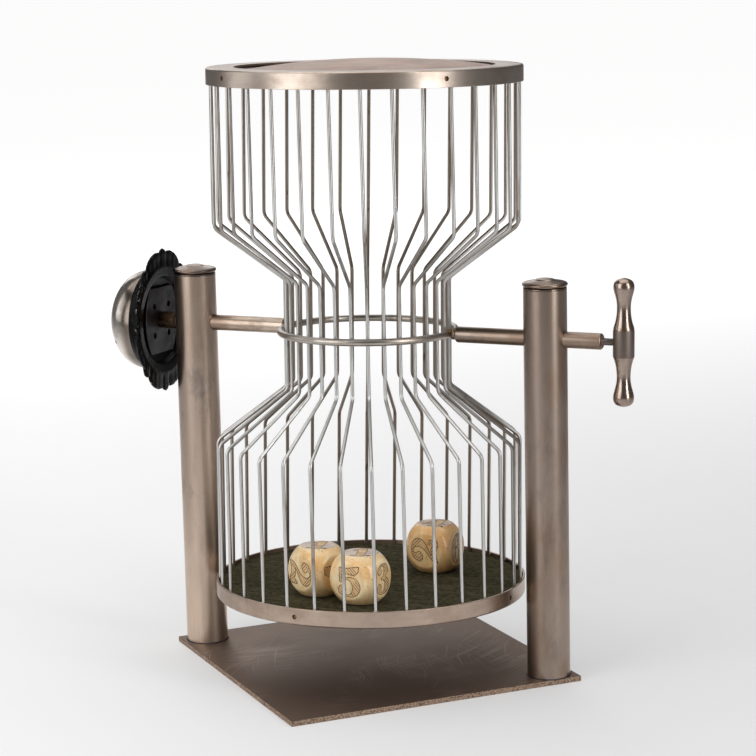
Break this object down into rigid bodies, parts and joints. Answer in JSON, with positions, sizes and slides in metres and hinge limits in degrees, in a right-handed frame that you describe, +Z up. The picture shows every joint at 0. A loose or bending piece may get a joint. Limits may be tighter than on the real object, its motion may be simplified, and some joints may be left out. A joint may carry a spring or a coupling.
{
  "type": "chuck_a_luck_cage",
  "caption": "Hourglass wire cage that turns on an axle between posts on a plate, tumbling dice between felted drums, with a T-handle and a dome bell that rings as it turns",
  "frame": {"origin": "centre of the base plate's underside", "axes": "+X along the axle towards the handle, +Y away from the picture's viewer, +Z up"},
  "size_m": [0.5017, 0.397, 0.5492],
  "materials": {
    "aged_nickel": "brushed nickel plate gone warm and brownish with age",
    "cage_wire": "drawn wire with worn plating, brown where handled least",
    "satin_steel": "dark brown-grey satin with scratches and rusty edges",
    "drum_head": "thin worn paint with copper-coloured scratches",
    "board_wood": "bare plywood, hidden between each head and its felt",
    "green_felt": "dark olive green gaming felt",
    "dice_bone": "yellowed bone with brown inlaid numerals",
    "black_enamel": "gloss black enamel over a casting",
    "bright_nickel": "bright nickel with light tarnish",
    "dull_iron": "plain dark iron",
    "brass": "browned brass"
  },
  "bodies": {
    "stand": {"base_plate": "satin_steel", "left_post": "aged_nickel", "right_post": "aged_nickel", "left_post_cap": "aged_nickel", "right_post_cap": "aged_nickel"},
    "cage": {"left_axle": "aged_nickel", "right_axle": "aged_nickel", "handle_stud": "dull_iron", "turning_handle": "aged_nickel", "waist_ring": "aged_nickel", "top_drum_band": "aged_nickel", "bottom_drum_band": "aged_nickel", "top_drum_head": "drum_head", "bottom_drum_head": "drum_head", "top_drum_board": "board_wood", "bottom_drum_board": "board_wood", "top_drum_felt": "green_felt", "bottom_drum_felt": "green_felt", "bell_hub": "brass", "bell_plate": "dull_iron", "bell_casting": "black_enamel", "gong": "bright_nickel", "gong_screw": "bright_nickel", "clapper_pin": "dull_iron", "cage_wire_01": "cage_wire", "cage_wire_02": "cage_wire", "cage_wire_03": "cage_wire", "cage_wire_04": "cage_wire", "cage_wire_05": "cage_wire", "cage_wire_06": "cage_wire", "cage_wire_07": "cage_wire", "cage_wire_08": "cage_wire", "cage_wire_09": "cage_wire", "cage_wire_10": "cage_wire", "cage_wire_11": "cage_wire", "cage_wire_12": "cage_wire", "cage_wire_13": "cage_wire", "cage_wire_14": "cage_wire", "cage_wire_15": "cage_wire", "cage_wire_16": "cage_wire", "cage_wire_17": "cage_wire", "cage_wire_18": "cage_wire", "cage_wire_19": "cage_wire", "cage_wire_20": "cage_wire", "cage_wire_21": "cage_wire", "cage_wire_22": "cage_wire", "cage_wire_23": "cage_wire", "cage_wire_24": "cage_wire", "cage_wire_25": "cage_wire", "cage_wire_26": "cage_wire", "cage_wire_27": "cage_wire", "cage_wire_28": "cage_wire", "cage_wire_29": "cage_wire", "cage_wire_30": "cage_wire", "cage_wire_31": "cage_wire", "cage_wire_32": "cage_wire"},
    "clapper_arm": {"clapper": "dull_iron"},
    "die_1_body": {"die_1": "dice_bone"},
    "die_2_body": {"die_2": "dice_bone"},
    "die_3_body": {"die_3": "dice_bone"}
  },
  "joints": [
    {"name": "cage_spin", "type": "hinge", "parent": "stand", "child": "cage", "pos_m": [0, 0, 0.307], "axis": [1, 0, 0], "continuous": true},
    {"name": "clapper_swing", "type": "hinge", "parent": "cage", "child": "clapper_arm", "pos_m": [-0.22385, 0.00063, 0.33099], "axis": [1, 0, 0], "range_deg": [-140, 140]},
    {"name": "die_1_fall", "type": "slide", "parent": "cage", "child": "die_1_body", "axis": [0.0155, 0.2098, 0.9776], "range_m": [0, 0.41352]},
    {"name": "die_2_fall", "type": "slide", "parent": "cage", "child": "die_2_body", "axis": [0.0587, 0.3746, 0.9253], "range_m": [0, 0.43474]},
    {"name": "die_3_fall", "type": "slide", "parent": "cage", "child": "die_3_body", "axis": [-0.2374, -0.01, 0.9714], "range_m": [0, 0.41864]}
  ]
}
